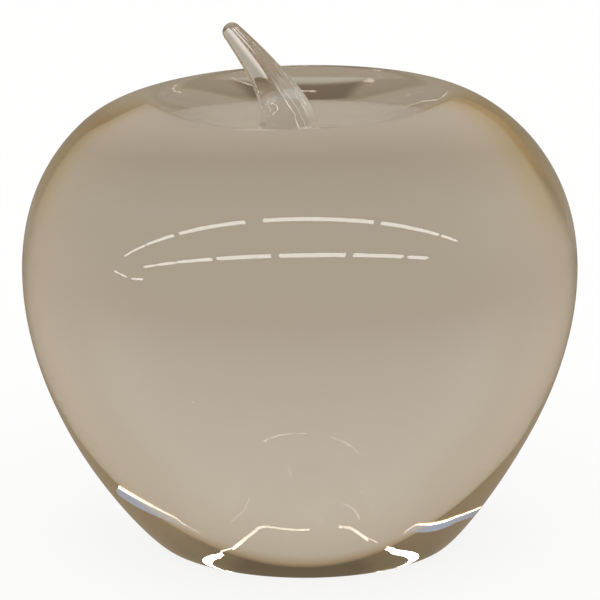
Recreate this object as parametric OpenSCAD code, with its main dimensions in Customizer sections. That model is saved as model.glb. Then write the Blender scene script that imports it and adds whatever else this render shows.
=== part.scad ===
// Art glass apple: a solid clear glass body with a ground flat to stand on, and a
// separately gathered stem pressed hot onto the flat land in the middle of the dimple.
// Z is up, the origin is the middle of the ground flat, and the stem leans to -X.

/* [Body] */
// Width of the body at its belly, mm
body_d = 100; // [80:1:120]
// Height of the body at the crest round the dimple, mm
body_h = 81.5; // [68:0.5:95]
// Colour of the body glass
body_colour = "wheat"; // [wheat, lightcyan, lavender]
// Flat facets that draw the half outline
outline_steps = 88; // [40:4:160]

/* [Stem] */
// Width of the stem where it meets the body, mm
foot_w = 11.5; // [9:0.5:13]
// Width of the stem half way up, mm
shaft_w = 6.6; // [5:0.2:8]
// Width of the stem just before its rounded tip, mm
tip_w = 3.4; // [2.6:0.2:4.6]
// Depth of the stem, front to back, as a share of its width
stem_flatness = 0.8; // [0.6:0.05:1]
// How far the tip leans out from the middle of the foot, mm
stem_lean = 10; // [4:0.5:13]
// Height of the stem above the floor of the dimple, mm
stem_h = 20.5; // [15:0.5:25]
// Colour of the stem glass
stem_colour = "beige"; // [beige, azure, lavenderblush]

/* [Hidden] */

// The outline is drawn for a body 100 mm wide and 81.5 mm high, then scaled to the
// chosen size: these are the half width and the height of the flat land that the stem
// stands on, as drawn
land_r = 9;
land_z = 75;

// Cage of the half outline as drawn, radius and height: the edge of the ground flat,
// the heel, the flank, the belly, the shoulder, the crest, the dimple and its land
outline_cage = [
  [27, 0],
  [29.5, 2],
  [41.5, 16.5],
  [51, 42],
  [49.5, 64.5],
  [38, 79],
  [27, 82.5],
  [25, 82],
  [18, 79],
  [12.5, land_z],
  [land_r, land_z]
];

// Middle of the stem's foot, a little to the left of the body's axis
foot_x = -2;
stem_sides = 24;
shaft_rings = 18;
tip_rings = 6;

// Cubic B-spline with clamped ends over a cage of points c, for u from 0 to len(c) - 3
function knot(c, i) = min(max(i - 3, 0), len(c) - 3);
function blend(c, i, level, u) =
  level == 0 ? c[i] :
  let (low = knot(c, i), high = knot(c, i + 4 - level), t = (u - low) / (high - low))
  (1 - t) * blend(c, i - 1, level - 1, u) + t * blend(c, i, level - 1, u);
function spline(c, u) = blend(c, min(floor(u), len(c) - 4) + 3, 3, u);
function spline_points(c, steps) =
  [for (i = [0:steps]) spline(c, i * (len(c) - 3) / steps)];

// Half outline at the chosen size: the widest and the highest point of the drawn
// curve land on the chosen width and height
drawn_outline = spline_points(outline_cage, outline_steps);
scale_r = body_d / 2 / max([for (p = drawn_outline) p[0]]);
scale_z = body_h / max([for (p = drawn_outline) p[1]]);
body_outline = concat(
  [[0, 0]],
  [for (p = drawn_outline) [p[0] * scale_r, p[1] * scale_z]],
  [[0, land_z * scale_z]]
);
floor_z = land_z * scale_z;

// Middle line of the stem up to its tip: it rises upright from its foot and bends over
stem_rise = stem_h - tip_w / 2;
stem_cage = [
  [foot_x, floor_z],
  [foot_x, floor_z + stem_rise * 0.16],
  [foot_x - stem_lean * 0.16, floor_z + stem_rise * 0.42],
  [foot_x - stem_lean * 0.64, floor_z + stem_rise * 0.77],
  [foot_x - stem_lean, floor_z + stem_rise]
];
// Width of the stem along it, from the foot to the start of the tip
stem_width_cage = [foot_w, foot_w * 0.92, shaft_w, shaft_w * 0.74, tip_w];
stem_span = len(stem_cage) - 3;

function stem_middle(u) = spline(stem_cage, u);
function stem_heading(u) =
  let (step = 0.01, a = max(u - step, 0), b = min(u + step, stem_span),
       d = stem_middle(b) - stem_middle(a))
  u == 0 ? [0, 1] : d / norm(d);

// One ring of points round the stem: middle m, heading h, half width w
function ring(m, h, w) =
  [for (k = [0:stem_sides - 1])
    let (a = 360 * k / stem_sides, across = w * cos(a), deep = w * stem_flatness * sin(a))
    [m[0] + h[1] * across, deep, m[1] - h[0] * across]];

module apple_body() {
  color(body_colour)
    rotate_extrude($fn = 180)
      polygon(body_outline);
}

module stem() {
  end = stem_middle(stem_span);
  heading = stem_heading(stem_span);
  half_tip = tip_w / 2;
  shaft = [for (i = [0:shaft_rings])
    let (u = i * stem_span / shaft_rings)
    each ring(stem_middle(u), stem_heading(u), spline(stem_width_cage, u) / 2)];
  tip = [for (i = [1:tip_rings - 1])
    let (a = 90 * i / tip_rings)
    each ring(end + heading * half_tip * sin(a), heading, half_tip * cos(a))];
  apex = end + heading * half_tip;
  points = concat(shaft, tip, [[apex[0], 0, apex[1]]]);
  rings = shaft_rings + tip_rings;
  last = rings * stem_sides;
  foot_face = [for (k = [0:stem_sides - 1]) k];
  side_faces = [for (i = [0:rings - 2], k = [0:stem_sides - 1])
    let (a = i * stem_sides + k, b = i * stem_sides + (k + 1) % stem_sides)
    [a, a + stem_sides, b + stem_sides, b]];
  tip_faces = [for (k = [0:stem_sides - 1])
    [last - stem_sides + k, last, last - stem_sides + (k + 1) % stem_sides]];
  color(stem_colour)
    polyhedron(points, concat([foot_face], side_faces, tip_faces));
}

apple_body();
stem();
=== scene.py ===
import math

import bmesh
import bpy
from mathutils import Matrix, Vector


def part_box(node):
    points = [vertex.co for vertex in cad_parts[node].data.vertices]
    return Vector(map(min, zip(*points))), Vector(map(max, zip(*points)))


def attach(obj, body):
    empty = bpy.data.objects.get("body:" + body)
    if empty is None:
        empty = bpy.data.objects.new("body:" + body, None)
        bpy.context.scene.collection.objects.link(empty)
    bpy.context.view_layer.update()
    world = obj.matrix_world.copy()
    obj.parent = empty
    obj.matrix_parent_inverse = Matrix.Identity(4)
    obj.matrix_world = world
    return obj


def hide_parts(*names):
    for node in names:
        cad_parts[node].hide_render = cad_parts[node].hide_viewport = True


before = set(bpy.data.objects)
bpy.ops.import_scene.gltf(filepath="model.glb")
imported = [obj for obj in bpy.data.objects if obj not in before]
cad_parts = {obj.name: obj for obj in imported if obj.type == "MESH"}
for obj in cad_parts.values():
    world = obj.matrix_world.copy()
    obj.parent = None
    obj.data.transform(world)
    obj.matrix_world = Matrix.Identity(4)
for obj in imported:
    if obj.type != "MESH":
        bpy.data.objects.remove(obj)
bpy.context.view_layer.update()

bl_info = {
    "name": "Art Glass Apple",
    "version": (1, 0, 0),
    "blender": (4, 5, 0),
    "location": "View3D > Sidebar > Glass Apple",
    "description": "Shapes a solid glass apple with a drawn stem and sets it on a pale table",
    "category": "Add Mesh",
}

MM = 0.001
BODY_LOW, BODY_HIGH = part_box("apple_body")
STEM_LOW, STEM_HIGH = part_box("stem")

# Half outline of the body as drawn, radius and height in mm, and the size it is drawn at
LAND_R = 9.0
LAND_Z = 75.0
OUTLINE_CAGE = (
    (27, 0), (29.5, 2), (41.5, 16.5), (51, 42), (49.5, 64.5), (38, 79),
    (27, 82.5), (25, 82), (18, 79), (12.5, LAND_Z), (LAND_R, LAND_Z),
)
# The stem as drawn: middle of its foot, and the height of its start to its tip's middle
FOOT_X = -2.0
FOOT_WIDTH = 11.5
SHAFT_WIDTH = 6.6
TIP_WIDTH = 3.4
STEM_FLATNESS = 0.8
STEM_LEAN = 10.0

# Marks of the tools on the stem. Angles in degrees run round it from its right over its
# back, shares run from its foot to its tip, and depths are in mm
# Pressed facets: angle, and share of the half width that is left there
FACETS = ((232.0, 0.70), (85.0, 0.70))
FACET_SHARES = (0.28, 0.52)
FACET_TURN_MIN = 0.2
FACET_SOFTNESS = 0.04
# Drawn grooves near the tip
GROOVE_ANGLES = (292.0, 308.0, 324.0, 340.0)
GROOVE_DEPTH = 0.22
GROOVE_WIDTH = 6.0
GROOVE_SHARES = (0.50, 0.70)
# Flattened cheek low on the right
CHEEK_ANGLE = 322.0
CHEEK_WIDTH = 60.0
CHEEK_EDGE = (326.0, 354.0)
CHEEK_DEPTH = 0.9
CHEEK_SHARES = (0.25, 0.50, 0.80)
# Dent left by the shears: share, angle, half length as a share, half width and depth
DENT = (0.46, 318.0, 0.02, 6.0, 0.35)

# Where painted light makes the stem's glass paler: past a line along its right side, and at its
# foot, in m
PAINTED_LIGHT_SLOPE = (0.77, 0.64)
PAINTED_LIGHT_FROM = (0.0497, 0.0506)
PAINTED_LIGHT_BELOW = (0.080, 0.086)

# Where the unevenness of hand work fades out: the dimple's by radius and by height, the
# ground flat's shift and the heel's bulge by height
DIMPLE_RADII = (26 * MM, 40 * MM)
DIMPLE_HEIGHTS = (60 * MM, 72 * MM)
FLAT_REACH = 30 * MM
HEEL_REACH = 22 * MM

# Fineness of the meshes
OUTLINE_STEPS = 280
FLAT_RINGS = 24
LAND_RINGS = 10
WELD_RINGS = 12
SIDES = 320
SHAFT_RINGS = 150
TIP_RINGS = 16
FLAT_EDGE = 0.15 * MM

# Unevenness of the glass's colour: fineness, and how much darker it gets at most
BODY_DRIFT = 14.0
BODY_DRIFT_AMOUNT = 0.10
BODY_DARKER = 0.90
STEM_STREAKS = 90.0
STEM_STRETCH = (4.0, 4.0, 0.6)
STEM_STREAK_AMOUNT = 0.25
STEM_DARKER = 0.85


def smooth(low, high, value):
    """Runs from 0 at low to 1 at high with soft ends."""
    t = min(max((value - low) / (high - low), 0.0), 1.0)
    return t * t * (3 - 2 * t)


def spline_at(cage, u):
    """Point of the clamped cubic B-spline over cage, for u from 0 to len(cage) - 3."""
    spans = len(cage) - 3
    first = min(int(u), spans - 1)
    pts = [Vector(cage[first + j]) for j in range(4)]
    for level in range(1, 4):
        for j in range(3, level - 1, -1):
            i = first + j
            low = min(max(i - 3, 0), spans)
            high = min(max(i + 1 - level, 0), spans)
            t = (u - low) / (high - low)
            pts[j] = pts[j - 1] * (1 - t) + pts[j] * t
    return pts[3]


def spline_points(cage, steps):
    """Evenly stepped points along the spline over cage."""
    spans = len(cage) - 3
    return [spline_at(cage, spans * i / steps) for i in range(steps + 1)]


class AppleShape(bpy.types.PropertyGroup):
    """Sizes of the glass."""

    width: bpy.props.FloatProperty(
        name="Body width", description="Width of the body at its belly",
        default=BODY_HIGH.x - BODY_LOW.x, min=0.02, unit="LENGTH")
    height: bpy.props.FloatProperty(
        name="Body height", description="Height of the crest round the dimple",
        default=BODY_HIGH.z - BODY_LOW.z, min=0.02, unit="LENGTH")
    top: bpy.props.FloatProperty(
        name="Stem top", description="Height of the top of the stem",
        default=STEM_HIGH.z, min=0.02, unit="LENGTH")
    crest_tilt: bpy.props.FloatProperty(
        name="Crest tilt", description="How far the crest rises towards the right",
        default=math.atan(0.023), subtype="ANGLE", unit="ROTATION")
    dimple_shift: bpy.props.FloatProperty(
        name="Dimple shift", description="How far the dimple sits towards the front",
        default=1.0 * MM, unit="LENGTH")
    flat_shift: bpy.props.FloatProperty(
        name="Flat shift", description="How far the ground flat sits towards the back",
        default=0.5 * MM, unit="LENGTH")
    heel_shift: bpy.props.FloatProperty(
        name="Heel shift", description="How far the ground flat sits towards the right",
        default=0.9 * MM, unit="LENGTH")
    heel_spread: bpy.props.FloatProperty(
        name="Heel spread", description="Share by which the ground flat is wider than deep",
        default=0.025, min=0.0, max=0.05)


class AppleGlass(bpy.types.PropertyGroup):
    """Colours and optics of the glass."""

    index: bpy.props.FloatProperty(
        name="Refractive index", description="Refractive index of the glass",
        default=1.52, min=1.0, max=2.0)
    body_tint: bpy.props.FloatVectorProperty(
        name="Body tint", description="Colour that light has after crossing the body",
        subtype="COLOR", size=3, min=0, max=1, default=(0.50, 0.44, 0.365))
    stem_tint: bpy.props.FloatVectorProperty(
        name="Stem tint", description="Colour that light has after crossing the stem",
        subtype="COLOR", size=3, min=0, max=1, default=(0.50, 0.465, 0.40))
    # Painted light: a paler tint that the stem takes along its right side and at its foot
    painted_light_tint: bpy.props.FloatVectorProperty(
        name="Edge tint", description="Colour of the stem's glass at its foot and ridges",
        subtype="COLOR", size=3, min=0, max=1, default=(1.0, 0.93, 0.89))


class AppleRoom(bpy.types.PropertyGroup):
    """The room that the glass stands in."""

    mirrored: bpy.props.FloatVectorProperty(
        name="Mirrored room", description="Colour of the walls that the glass mirrors",
        subtype="COLOR", size=3, min=0, max=1, default=(0.31, 0.26, 0.20))
    mirrored_table: bpy.props.FloatVectorProperty(
        name="Mirrored table", description="Colour of the table in front that the glass mirrors",
        subtype="COLOR", size=3, min=0, max=1, default=(0.95, 0.90, 0.82))
    ceiling_height: bpy.props.FloatProperty(
        name="Ceiling height", description="Height of the lamp tubes above the table",
        default=1.5, unit="LENGTH")
    lamp_level: bpy.props.FloatProperty(
        name="Lamp level", description="Brightness of a lamp tube, where 1 is white",
        default=8.5, min=0)


class NodeTree:
    """Short calls that add nodes to one material or world and join them."""

    def __init__(self, owner):
        owner.use_nodes = True
        self.tree = owner.node_tree
        self.tree.nodes.clear()

    def add(self, kind, inputs=None, **settings):
        """Adds a node; an input is a value, or a socket to link from."""
        node = self.tree.nodes.new(kind)
        for name, value in settings.items():
            setattr(node, name, value)
        for key, value in (inputs or {}).items():
            if isinstance(value, bpy.types.NodeSocket):
                self.tree.links.new(value, node.inputs[key])
            else:
                node.inputs[key].default_value = value
        return node

    def maths(self, operation, a, b=0.0, clamp=False):
        node = self.add("ShaderNodeMath", {0: a, 1: b}, operation=operation, use_clamp=clamp)
        return node.outputs[0]

    def ramp(self, value, low, high, to_low=0.0, to_high=1.0):
        """Smoothly maps value from low..high to to_low..to_high."""
        node = self.add(
            "ShaderNodeMapRange", {0: value, 1: low, 2: high, 3: to_low, 4: to_high},
            interpolation_type="SMOOTHSTEP")
        return node.outputs[0]

    def mix(self, factor, a, b):
        """Mixes two colours, a at 0 and b at 1."""
        node = self.add("ShaderNodeMix", {0: factor}, data_type="RGBA")
        for index, value in ((6, a), (7, b)):
            if isinstance(value, bpy.types.NodeSocket):
                self.tree.links.new(value, node.inputs[index])
            else:
                node.inputs[index].default_value = (*value, 1)
        return node.outputs[2]

    def by_height(self, height, stops):
        """Colour by height from -1 to 1, through stops of height and colour."""
        level = self.maths("ADD", self.maths("MULTIPLY", height, 0.5), 0.5)
        node = self.add("ShaderNodeValToRGB", {0: level})
        elements = node.color_ramp.elements
        while len(elements) < len(stops):
            elements.new(0.5)
        for element, (at, colour) in zip(elements, stops):
            element.position = at / 2 + 0.5
            element.color = (*colour, 1)
        return node.outputs[0]

    def scale(self, colour, amount):
        node = self.add(
            "ShaderNodeVectorMath", {0: colour, "Scale": amount}, operation="SCALE")
        return node.outputs[0]

    def multiply(self, a, b):
        return self.add("ShaderNodeVectorMath", {0: a, 1: b}, operation="MULTIPLY").outputs[0]

    def mix_shader(self, factor, a, b):
        return self.add("ShaderNodeMixShader", {0: factor, 1: a, 2: b}).outputs[0]


def body_glass(glass):
    """Greige glass with a faint unevenness of colour."""
    material = bpy.data.materials.new("body_glass")
    tree = NodeTree(material)
    place = tree.add("ShaderNodeTexCoord").outputs["Object"]
    drift = tree.add(
        "ShaderNodeTexNoise", {"Vector": place, "Scale": BODY_DRIFT, "Detail": 2.0})
    amount = tree.maths("MULTIPLY", drift.outputs[0], BODY_DRIFT_AMOUNT)
    deeper = tuple(c * BODY_DARKER for c in glass.body_tint)
    tint = tree.mix(amount, tuple(glass.body_tint), deeper)
    shader = tree.add("ShaderNodeBsdfPrincipled", {
        "Base Color": tint, "Roughness": 0.0, "IOR": glass.index,
        "Transmission Weight": 1.0})
    tree.add("ShaderNodeOutputMaterial", {"Surface": shader.outputs[0]})
    return material


def stem_glass(glass):
    """Paler glass of the thin stem, with a faint drift of colour along its draw, and painted
    light that makes it paler still along its right side and at its foot.
    """
    material = bpy.data.materials.new("stem_glass")
    tree = NodeTree(material)
    place = tree.add("ShaderNodeTexCoord").outputs["Object"]
    stretched = tree.add("ShaderNodeMapping", {"Vector": place, "Scale": STEM_STRETCH})
    streaks = tree.add("ShaderNodeTexNoise", {
        "Vector": stretched.outputs[0], "Scale": STEM_STREAKS, "Detail": 2.0})
    x, y, z = tree.add("ShaderNodeSeparateXYZ", {0: place}).outputs
    # Painted light: the tint turns paler past a line along the stem's right side and towards its
    # foot
    across = tree.maths(
        "ADD", tree.maths("MULTIPLY", x, PAINTED_LIGHT_SLOPE[0]),
        tree.maths("MULTIPLY", z, PAINTED_LIGHT_SLOPE[1]))
    painted_light_side = tree.ramp(across, *PAINTED_LIGHT_FROM)
    pale = tree.maths("MAXIMUM", painted_light_side, tree.ramp(z, *PAINTED_LIGHT_BELOW, 1, 0))
    tint = tree.mix(pale, tuple(glass.stem_tint), tuple(glass.painted_light_tint))
    amount = tree.maths("MULTIPLY", streaks.outputs[0], STEM_STREAK_AMOUNT)
    colour = tree.mix(amount, tint, tuple(c * STEM_DARKER for c in glass.stem_tint))
    shader = tree.add("ShaderNodeBsdfPrincipled", {
        "Base Color": colour, "Roughness": 0.0, "IOR": glass.index,
        "Transmission Weight": 1.0})
    tree.add("ShaderNodeOutputMaterial", {"Surface": shader.outputs[0]})
    return material


def weld_glass():
    """The fused joint between stem and body, which light crosses unbent."""
    name = "weld_glass"
    material = bpy.data.materials.get(name) or bpy.data.materials.new(name)
    tree = NodeTree(material)
    shader = tree.add("ShaderNodeBsdfPrincipled", {
        "Base Color": (1, 1, 1, 1), "Roughness": 0.0, "IOR": 1.0,
        "Transmission Weight": 1.0})
    tree.add("ShaderNodeOutputMaterial", {"Surface": shader.outputs[0]})
    return material


def outline(shape):
    """The body's half outline in metres, scaled to the chosen width and height."""
    drawn = spline_points(OUTLINE_CAGE, OUTLINE_STEPS)
    scale_r = shape.width / 2 / max(p.x for p in drawn)
    scale_z = shape.height / max(p.y for p in drawn)
    return [Vector((p.x * scale_r, p.y * scale_z)) for p in drawn]


def settle(shape, point):
    """Slight unevenness of hand work: the crest tilts, and dimple, flat and heel sit off."""
    r = math.hypot(point.x, point.y)
    top = (1 - smooth(*DIMPLE_RADII, r)) * smooth(*DIMPLE_HEIGHTS, point.z)
    bottom = max(0.0, 1 - point.z / FLAT_REACH)
    heel = max(0.0, 1 - point.z / HEEL_REACH) ** 2
    spread = 1 + shape.heel_spread * heel
    return Vector((
        point.x * spread + shape.heel_shift * heel,
        point.y - shape.dimple_shift * top + shape.flat_shift * bottom,
        point.z + math.tan(shape.crest_tilt) * point.x * top,
    ))


def foot_ring(height, share=1.0):
    """Ring of the stem's foot at a height, shrunk to a share of its size."""
    half = FOOT_WIDTH / 2 * MM * share
    return [
        Vector((FOOT_X * MM + half * math.cos(a), half * STEM_FLATNESS * math.sin(a), height))
        for a in (2 * math.pi * k / SIDES for k in range(SIDES))
    ]


def circle_ring(radius, height):
    return [
        Vector((radius * math.cos(a), radius * math.sin(a), height))
        for a in (2 * math.pi * k / SIDES for k in range(SIDES))
    ]


def skin(name, rings, first_point, last_point, weld_faces, materials):
    """Closed mesh through a list of rings, with a point at each end."""
    mesh = bpy.data.meshes.new(name)
    verts = [tuple(p) for ring in rings for p in ring]
    first = len(verts)
    verts += [tuple(first_point), tuple(last_point)]
    faces = [[first, (k + 1) % SIDES, k] for k in range(SIDES)]
    for i in range(len(rings) - 1):
        for k in range(SIDES):
            a = i * SIDES + k
            b = i * SIDES + (k + 1) % SIDES
            faces.append([a, b, b + SIDES, a + SIDES])
    top = (len(rings) - 1) * SIDES
    faces += [[first + 1, top + k, top + (k + 1) % SIDES] for k in range(SIDES)]
    mesh.from_pydata(verts, [], faces)
    mesh.polygons.foreach_set("use_smooth", [True] * len(faces))
    for material in materials:
        mesh.materials.append(material)
    for index in weld_faces(len(faces)):
        mesh.polygons[index].material_index = 1
    mesh.update()
    piece = bpy.data.objects.new(name, mesh)
    bpy.context.scene.collection.objects.link(piece)
    return piece


class GLASSAPPLE_OT_body(bpy.types.Operator):
    """Shape the solid body with its ground flat, dimple and the land under the stem"""

    bl_idname = "glassapple.body"
    bl_label = "Shape body"

    def execute(self, context):
        shape = context.scene.apple_shape
        curve = outline(shape)
        land_z = curve[-1].y
        flat_r = curve[0].x
        radii = [flat_r * i / FLAT_RINGS for i in range(1, FLAT_RINGS)]
        radii.append(flat_r - FLAT_EDGE)
        rings = [circle_ring(r, 0.0) for r in radii]
        rings += [circle_ring(p.x, p.y) for p in curve]
        rim = circle_ring(curve[-1].x, land_z)
        foot = foot_ring(land_z)
        for i in range(1, LAND_RINGS + 1):
            rings.append([a.lerp(b, i / LAND_RINGS) for a, b in zip(rim, foot)])
        for i in range(1, WELD_RINGS):
            rings.append(foot_ring(land_z, 1 - i / WELD_RINGS))
        rings = [[settle(shape, p) for p in ring] for ring in rings]
        first = settle(shape, Vector((0, 0, 0)))
        last = settle(shape, Vector((FOOT_X * MM, 0, land_z)))
        weld_count = WELD_RINGS * SIDES
        piece = skin(
            "apple_body_glass", rings, first, last,
            lambda count: range(count - weld_count, count),
            [body_glass(context.scene.apple_glass), weld_glass()])
        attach(piece, "root")
        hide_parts("apple_body")
        return {"FINISHED"}


class GLASSAPPLE_OT_stem(bpy.types.Operator):
    """Draw the bent, ridged stem up from its foot on the land"""

    bl_idname = "glassapple.stem"
    bl_label = "Draw stem"

    def execute(self, context):
        shape = context.scene.apple_shape
        land_z = outline(shape)[-1].y / MM
        sag = math.tan(shape.crest_tilt) * (STEM_LEAN - FOOT_X)
        rise = shape.top / MM + sag - land_z - TIP_WIDTH / 2
        cage = (
            (FOOT_X, land_z),
            (FOOT_X, land_z + rise * 0.16),
            (FOOT_X - STEM_LEAN * 0.16, land_z + rise * 0.42),
            (FOOT_X - STEM_LEAN * 0.64, land_z + rise * 0.77),
            (FOOT_X - STEM_LEAN, land_z + rise),
        )
        widths = (FOOT_WIDTH, FOOT_WIDTH * 0.92, SHAFT_WIDTH, SHAFT_WIDTH * 0.74, TIP_WIDTH)
        width_cage = [(w, 0) for w in widths]
        spans = len(cage) - 3
        rings = [foot_ring(land_z * MM, i / WELD_RINGS) for i in range(1, WELD_RINGS)]
        for i in range(SHAFT_RINGS + 1):
            u = spans * i / SHAFT_RINGS
            middle = spline_at(cage, u)
            ahead = spline_at(cage, min(u + 0.01, spans)) - spline_at(cage, max(u - 0.01, 0))
            heading = ahead.normalized() if i else Vector((0, 1))
            half = spline_at(width_cage, u).x / 2
            rings.append(self.section(middle, heading, half, u / spans))
        end = middle
        for i in range(1, TIP_RINGS):
            a = math.pi / 2 * i / TIP_RINGS
            rings.append(self.section(
                end + heading * half * math.sin(a), heading, half * math.cos(a), 1.0))
        apex = end + heading * half
        rings = [[settle(shape, p) for p in ring] for ring in rings]
        first = settle(shape, Vector((FOOT_X, 0, land_z)) * MM)
        last = settle(shape, Vector((apex.x, 0, apex.y)) * MM)
        weld_count = WELD_RINGS * SIDES
        piece = skin(
            "stem_glass", rings, first, last,
            lambda count: range(weld_count),
            [stem_glass(context.scene.apple_glass), weld_glass()])
        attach(piece, "root")
        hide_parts("stem")
        return {"FINISHED"}

    def section(self, middle, heading, half, share):
        """One ring round the stem, in metres; middle, heading and half width are in mm."""
        ring = []
        for k in range(SIDES):
            a = 2 * math.pi * k / SIDES
            reach = half * self.facet(share, math.degrees(a))
            reach += self.relief(share, math.degrees(a)) * min(1.0, half / (SHAFT_WIDTH / 2))
            across = reach * math.cos(a)
            deep = reach * STEM_FLATNESS * math.sin(a)
            ring.append(Vector((
                middle.x + heading.y * across, deep, middle.y - heading.x * across)) * MM)
        return ring

    def facet(self, share, angle):
        """Share of the half width that is left where the upper stem was pressed flat."""
        left = 1.0
        for middle, reach in FACETS:
            turn = math.cos(math.radians(angle - middle))
            gone = 1.0 - reach / max(turn, FACET_TURN_MIN)
            left *= 1.0 - (gone + math.hypot(gone, FACET_SOFTNESS)) / 2
        return 1.0 + (left - 1.0) * smooth(*FACET_SHARES, share)

    def relief(self, share, angle):
        """Height in mm of the drawn grooves, the flattened cheek and the dent."""
        height = 0.0
        for at in GROOVE_ANGLES:
            line = math.exp(-((angle - at) / GROOVE_WIDTH) ** 2)
            height -= GROOVE_DEPTH * line * smooth(*GROOVE_SHARES, share)
        full, low, high = CHEEK_SHARES
        cheek = math.exp(-((angle - CHEEK_ANGLE) / CHEEK_WIDTH) ** 2)
        cheek *= 1 - smooth(*CHEEK_EDGE, angle)
        flare = 1 - (1 - min(share / full, 1.0)) ** 2
        height -= CHEEK_DEPTH * cheek * flare * (1 - smooth(low, high, share))
        at, side, length, width, depth = DENT
        spot = ((share - at) / length) ** 2 + ((angle - side) / width) ** 2
        return height - depth * math.exp(-spot)


# Camera: it looks at a point on the body's axis from the front, a little above level
CAMERA_ELEVATION = math.radians(15.53)
CAMERA_DISTANCE = 0.65263
CAMERA_TARGET = Vector((0, 0, 0.04421))
SENSOR = 36.0
PICTURE = 600
FOCAL_PIXELS = 3608.3
CENTRE_PIXEL = (299.8, 297.2)

# How far the table lies under the ground flat, so that the two faces never coincide, how
# pale its cloth is, and how much of its white doesn't depend on the room's light
TABLE_GAP = 0.05 * MM
CLOTH = 0.98
TABLE_GLOW = 0.85

# Ceiling lamp rows as the glass mirrors them: distance in front of the apple, how much
# nearer they come per metre to the right, width of a tube, and runs of tubes as the
# start of the first one, the pitch, the length of each and how many
LAMP_ROWS = (
    (2.385, 0.055, 0.13, (
        (-6.50, 1.57, 1.36, 3), (-1.80, 1.42, 1.24, 3), (2.48, 1.42, 0.76, 1))),
    (1.065, 0.031, 0.07, (
        (-6.10, 1.41, 1.25, 3), (-1.84, 1.41, 1.20, 1), (-0.41, 1.41, 1.28, 2),
        (2.44, 1.41, 0.74, 1))),
)
# Lamps that show through the glass: width and brightness of each line, how many bands of
# colour it has, and its corners
SEEN_LINES = (
    (0.07, 1.0, 3, ((1.15, -2.40), (1.20, -1.40), (1.85, -0.95))),
    (0.07, 1.0, 3, ((-1.15, -1.00), (-1.05, -1.40), (-0.60, -2.00))),
    (0.02, 1.0, 2, ((-1.15, -0.55), (-1.00, -0.60))),
    (0.08, 1.6, 1, ((-1.05, -0.55), (-0.80, -0.75), (-0.55, -0.85))),
    (0.08, 1.6, 1, (
        (-0.10, -0.90), (0.50, -0.90), (0.65, -0.80), (0.75, -0.65), (0.95, -0.45))),
    (0.02, 1.0, 2, ((0.95, -0.45), (1.10, -0.45))),
)
# Bands of colour that the glass splits each line into: offset to its right and width as
# shares of its width, colour and brightness as a share of the line's
BANDS = (
    (0.0, 0.70, (1.0, 0.98, 0.94), 1.0),
    (0.55, 0.40, (1.0, 0.60, 0.18), 0.22),
    (-0.95, 1.20, (0.53, 0.66, 1.0), 0.16),
)
# Two bright windows to the far left, as the ends of each and its width
WINDOWS = (((-5.13, -0.81), (-5.57, -1.53), 0.10), ((-5.43, -1.80), (-4.20, -1.79), 0.11))
WINDOW_HEIGHT = 0.5
WINDOW_COLOUR = (1.0, 1.0, 0.98)
# Faces of one bar of light over its eight corners
BAR_FACES = (
    (0, 1, 3, 2), (4, 6, 7, 5), (0, 4, 5, 1), (2, 3, 7, 6), (0, 2, 6, 4), (1, 5, 7, 3),
)

# Colours of the room through the glass, by the height that the sight line rises or falls
# to over a length of 1: straight through, through near the rim, and after a turn inside
STRAIGHT_COLOURS = (
    (-0.85, (0.94, 0.92, 0.88)), (-0.75, (0.90, 0.87, 0.82)), (-0.58, (0.75, 0.72, 0.66)),
    (-0.42, (0.82, 0.81, 0.76)), (-0.15, (0.83, 0.80, 0.76)), (0.10, (0.95, 0.93, 0.89)),
    (0.60, (1.05, 1.02, 0.93)), (0.70, (0.92, 0.76, 0.52)), (0.80, (0.40, 0.30, 0.16)),
)
RIM_COLOURS = (
    (-0.72, (0.90, 0.68, 0.33)), (-0.56, (0.78, 0.54, 0.25)), (-0.40, (0.45, 0.38, 0.24)),
    (-0.20, (0.62, 0.57, 0.43)), (0.30, (0.66, 0.60, 0.44)),
)
TURNED_COLOURS = (
    (-0.90, (0.85, 0.90, 0.90)), (-0.82, (0.90, 0.94, 0.88)), (-0.74, (0.65, 0.60, 0.50)),
    (-0.55, (0.62, 0.58, 0.50)), (-0.36, (0.60, 0.56, 0.46)), (-0.15, (0.80, 0.76, 0.64)),
    (0.00, (0.70, 0.60, 0.38)), (0.12, (0.56, 0.40, 0.17)), (0.30, (0.60, 0.48, 0.26)),
    (0.45, (0.50, 0.40, 0.20)), (0.67, (0.45, 0.36, 0.23)), (0.85, (0.30, 0.24, 0.14)),
    (0.90, (0.20, 0.16, 0.09)),
)
OLIVE = (0.72, 0.66, 0.46)
AMBER = (0.98, 0.90, 0.72)
SHADE = (0.33, 0.28, 0.23)
DEEP = (0.72, 0.68, 0.61)

# Where those colours change, as the two ends of each soft step: before and behind go by
# how far a sight line of length 1 runs to the back, below and above by how far it rises.
# For the straight view the first is taken per length on the level, and turned a little
# to one side where the line falls
ACROSS_SKEW = 0.12
SKEW_BELOW = (-0.35, -0.20)
LIFT = 0.20
LIFT_ACROSS = (0.95, 0.50)
WARM_BEFORE = (0.42, 0.68)
WARM_BELOW = (-0.45, -0.20)
OLIVE_RIGHT = (0.0, 0.2)
OLIVE_SHARE = 0.6
RIM_START = (0.25, 0.12)
RIM_START_HEIGHTS = (-0.50, -0.35)
RIM_END = 0.38
RIM_BEHIND = (-0.65, -0.15)
SHADE_BEFORE = (-0.60, -0.35)
SHADE_BELOW = (-0.40, -0.25)
SHADE_ABOVE = (-0.79, -0.71)
SHADE_WITHIN = (0.36, 0.50)
TURNED_BEFORE = (0.30, 0.45)
TABLE_BEFORE = (-0.2, 0.3)
TABLE_BELOW = (-0.5, 0.0)

# Bends and reflections on the way, over which the glass shows what is seen after a turn
# inside it, and after several
TURNED_STEPS = 3.5
DEEP_STEPS = 5.5
LIGHT_STEPS = 32
# Keeps the root of a length on the level above zero
JUST_OVER_ONE = 1.0001


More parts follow.
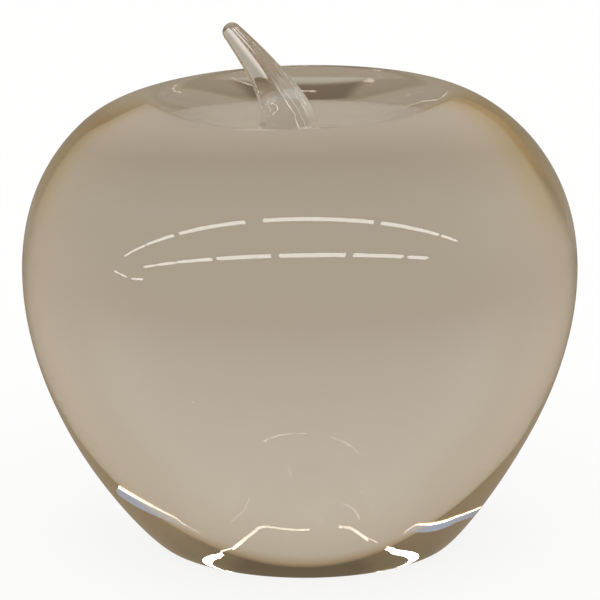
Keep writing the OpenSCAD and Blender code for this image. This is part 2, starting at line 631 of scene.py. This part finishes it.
def glow(name, colour, level, mirrored_only=False):
    """Plain light for a lamp; one that is only mirrored is clear to light through glass."""
    material = bpy.data.materials.new(name)
    tree = NodeTree(material)
    light = tree.add("ShaderNodeEmission", {"Color": (*colour, 1), "Strength": level})
    shader = light.outputs[0]
    if mirrored_only:
        path = tree.add("ShaderNodeLightPath").outputs
        clear = tree.add("ShaderNodeBsdfTransparent").outputs[0]
        shader = tree.mix_shader(path["Is Transmission Ray"], shader, clear)
    tree.add("ShaderNodeOutputMaterial", {"Surface": shader})
    material.cycles.emission_sampling = "NONE"
    return material


def table_material():
    """White table that keeps the object's shadow."""
    material = bpy.data.materials.new("table")
    tree = NodeTree(material)
    cloth = tree.add("ShaderNodeBsdfDiffuse", {"Color": (CLOTH, CLOTH, CLOTH, 1)})
    white = tree.add("ShaderNodeEmission", {"Color": (1, 1, 1, 1), "Strength": 1.0})
    shader = tree.mix_shader(TABLE_GLOW, cloth.outputs[0], white.outputs[0])
    tree.add("ShaderNodeOutputMaterial", {"Surface": shader})
    material.cycles.emission_sampling = "NONE"
    return material


def straight_view(tree, x, z, across):
    """Room seen straight through the glass: paler to the sides, olive and amber at the rim."""
    wall = tree.by_height(z, STRAIGHT_COLOURS)
    middle, side = LIFT_ACROSS
    sideways = tree.maths("SUBTRACT", middle, across)
    lift = tree.maths("DIVIDE", sideways, middle - side, clamp=True)
    lift = tree.maths("ADD", tree.maths("MULTIPLY", lift, LIFT), 1.0)
    warmth = tree.maths(
        "MULTIPLY", tree.ramp(across, *WARM_BEFORE, 1, 0), tree.ramp(z, *WARM_BELOW, 1, 0))
    warm = tree.multiply(tree.scale(wall, lift), tree.mix(warmth, (1, 1, 1), AMBER))
    olive = tree.ramp(x, *OLIVE_RIGHT, 0.0, OLIVE_SHARE)
    rim = tree.mix(olive, tree.by_height(z, RIM_COLOURS), OLIVE)
    start = tree.ramp(z, *RIM_START_HEIGHTS, *RIM_START)
    beside = tree.maths(
        "MULTIPLY", tree.ramp(across, start, RIM_END, 1, 0),
        tree.ramp(across, *RIM_BEHIND))
    return tree.mix(beside, warm, rim)


def turned_view(tree, x, y, z):
    """Room seen after a reflection inside the glass, with the shade under the viewer."""
    colour = tree.by_height(z, TURNED_COLOURS)
    aside = tree.maths("ABSOLUTE", x)
    shade = tree.maths(
        "MULTIPLY", tree.ramp(y, *SHADE_BEFORE, 1, 0), tree.ramp(z, *SHADE_BELOW, 1, 0))
    shade = tree.maths("MULTIPLY", shade, tree.ramp(z, *SHADE_ABOVE))
    shade = tree.maths("MULTIPLY", shade, tree.ramp(aside, *SHADE_WITHIN, 1, 0))
    return tree.mix(shade, colour, SHADE)


def mirrored_view(tree, room, y, z):
    """Room that the outside of the glass mirrors: dim walls, and the table in front."""
    table = tree.maths(
        "MULTIPLY", tree.ramp(y, *TABLE_BEFORE, 1, 0), tree.ramp(z, *TABLE_BELOW, 1, 0))
    return tree.mix(table, tuple(room.mirrored), tuple(room.mirrored_table))


def room_world(room):
    """White for the camera and the table, and the pale room for what the glass shows."""
    world = bpy.data.worlds.new("room")
    tree = NodeTree(world)
    look = tree.add("ShaderNodeTexCoord").outputs["Generated"]
    x, y, z = tree.add("ShaderNodeSeparateXYZ", {0: look}).outputs
    fall = tree.maths("MULTIPLY", z, z)
    level = tree.maths("SQRT", tree.maths("SUBTRACT", JUST_OVER_ONE, fall))
    skew = tree.maths("MULTIPLY", x, tree.ramp(z, *SKEW_BELOW, ACROSS_SKEW, 0.0))
    across = tree.maths("DIVIDE", tree.maths("ADD", y, skew), level)
    path = tree.add("ShaderNodeLightPath").outputs
    turned = tree.maths("GREATER_THAN", path["Ray Depth"], TURNED_STEPS)
    turned = tree.maths("MULTIPLY", turned, tree.ramp(y, *TURNED_BEFORE, 1, 0))
    through = tree.mix(turned, straight_view(tree, x, z, across), turned_view(tree, x, y, z))
    deep = tree.maths("GREATER_THAN", path["Ray Depth"], DEEP_STEPS)
    through = tree.mix(deep, through, DEEP)
    outside = tree.maths(
        "SUBTRACT", path["Is Glossy Ray"], path["Is Transmission Ray"], clamp=True)
    glass = tree.mix(outside, through, mirrored_view(tree, room, y, z))
    direct = tree.maths("MAXIMUM", path["Is Camera Ray"], path["Is Diffuse Ray"])
    shown = tree.mix(direct, glass, (1, 1, 1))
    shader = tree.add("ShaderNodeBackground", {"Color": shown, "Strength": 1.0})
    tree.add("ShaderNodeOutputWorld", {"Surface": shader.outputs[0]})
    return world


def stage_mesh(name, bm, material):
    mesh = bpy.data.meshes.new(name)
    bm.to_mesh(mesh)
    bm.free()
    mesh.materials.append(material)
    thing = bpy.data.objects.new(name, mesh)
    bpy.context.scene.collection.objects.link(thing)
    return thing


def bar_between(bm, start, end, width, height, shift=0.0):
    """Adds a level bar from start to end, half as thick as wide, moved to its right by shift."""
    start = Vector((*start, height))
    end = Vector((*end, height))
    along = (end - start).normalized()
    right = Vector((along.y, -along.x, 0))
    up = Vector((0, 0, width / 4))
    verts = [
        bm.verts.new(point + right * (shift + side * width / 2) + up * rise)
        for point in (start, end) for side in (-1, 1) for rise in (-1, 1)
    ]
    for corners in BAR_FACES:
        bm.faces.new([verts[i] for i in corners])


class GLASSAPPLE_OT_stage(bpy.types.Operator):
    """Set the table, the room's light and the camera"""

    bl_idname = "glassapple.stage"
    bl_label = "Set table and camera"

    def execute(self, context):
        room = context.scene.apple_room
        context.scene.world = room_world(room)
        self.table()
        light = glow("lamp_light", BANDS[0][2], room.lamp_level, mirrored_only=True)
        for number, row in enumerate(LAMP_ROWS, 1):
            self.mirrored_row(room, "lamp_row_%d" % number, row, light)
        for number, line in enumerate(SEEN_LINES, 1):
            self.seen_line(room, number, line)
        self.windows(room)
        self.camera(context.scene)
        self.light_paths(context.scene)
        return {"FINISHED"}

    def table(self):
        bm = bmesh.new()
        bmesh.ops.create_grid(bm, x_segments=1, y_segments=1, size=4.0)
        bmesh.ops.translate(bm, verts=bm.verts, vec=(0, 0, -TABLE_GAP))
        floor = stage_mesh("table_top", bm, table_material())
        floor.visible_glossy = False
        floor.visible_transmission = False

    def mirrored_row(self, room, name, row, light):
        """One row of tubes as the glass mirrors it."""
        distance, drift, width, runs = row
        bm = bmesh.new()
        for first, pitch, length, count in runs:
            for k in range(count):
                start = first + pitch * k
                end = start + length
                bar_between(
                    bm, (start, drift * start - distance), (end, drift * end - distance),
                    width, room.ceiling_height)
        self.lamp(name, bm, light)

    def seen_line(self, room, number, line):
        """One line of light as the bands of colour that the glass splits it into."""
        full_width, level, bands, corners = line
        for place, (offset, width, colour, share) in enumerate(BANDS[:bands], 1):
            name = "band_%d_%d" % (number, place)
            bm = bmesh.new()
            for start, end in zip(corners, corners[1:]):
                bar_between(
                    bm, start, end, width * full_width, room.ceiling_height,
                    offset * full_width)
            light = glow(name + "_light", colour, room.lamp_level * level * share)
            self.lamp(name, bm, light).visible_glossy = False

    def windows(self, room):
        bm = bmesh.new()
        for start, end, width in WINDOWS:
            bar_between(bm, start, end, width, WINDOW_HEIGHT)
        light = glow("window_light", WINDOW_COLOUR, room.lamp_level, mirrored_only=True)
        self.lamp("windows", bm, light)

    def lamp(self, name, bm, light):
        """Lamp mesh that only the glass shows."""
        lamps = stage_mesh(name, bm, light)
        lamps.visible_camera = False
        lamps.visible_diffuse = False
        lamps.visible_shadow = False
        return lamps

    def camera(self, scene):
        data = bpy.data.cameras.new("camera")
        data.sensor_width = SENSOR
        data.lens = FOCAL_PIXELS / PICTURE * SENSOR
        data.shift_x = (PICTURE / 2 - CENTRE_PIXEL[0]) / PICTURE
        data.shift_y = (CENTRE_PIXEL[1] - PICTURE / 2) / PICTURE
        camera = bpy.data.objects.new("camera", data)
        scene.collection.objects.link(camera)
        back = Vector((0, -math.cos(CAMERA_ELEVATION), math.sin(CAMERA_ELEVATION)))
        camera.location = CAMERA_TARGET + back * CAMERA_DISTANCE
        camera.rotation_mode = "QUATERNION"
        camera.rotation_quaternion = (-back).to_track_quat("-Z", "Y")
        scene.camera = camera

    def light_paths(self, scene):
        scene.view_settings.view_transform = "Standard"
        scene.cycles.max_bounces = LIGHT_STEPS
        scene.cycles.transmission_bounces = LIGHT_STEPS
        scene.cycles.glossy_bounces = LIGHT_STEPS


class GLASSAPPLE_PT_panel(bpy.types.Panel):
    """Sizes, colours and steps of the glass apple"""

    bl_idname = "GLASSAPPLE_PT_panel"
    bl_label = "Glass Apple"
    bl_space_type = "VIEW_3D"
    bl_region_type = "UI"
    bl_category = "Glass Apple"

    def draw(self, context):
        for group in (getattr(context.scene, name) for name in GROUPS):
            box = self.layout.box()
            for name in group.__annotations__:
                box.prop(group, name)
        for operator in OPERATORS:
            self.layout.operator(operator.bl_idname)


GROUPS = {"apple_shape": AppleShape, "apple_glass": AppleGlass, "apple_room": AppleRoom}
OPERATORS = (GLASSAPPLE_OT_body, GLASSAPPLE_OT_stem, GLASSAPPLE_OT_stage)


def register():
    for cls in (*GROUPS.values(), *OPERATORS, GLASSAPPLE_PT_panel):
        bpy.utils.register_class(cls)
    for name, group in GROUPS.items():
        setattr(bpy.types.Scene, name, bpy.props.PointerProperty(type=group))


def unregister():
    for name in GROUPS:
        delattr(bpy.types.Scene, name)
    for cls in (GLASSAPPLE_PT_panel, *OPERATORS, *GROUPS.values()):
        bpy.utils.unregister_class(cls)


def main():
    """Builds the object and its stage."""
    register()
    bpy.ops.glassapple.body()
    bpy.ops.glassapple.stem()
    bpy.ops.glassapple.stage()


if __name__ == "__main__":
    main()
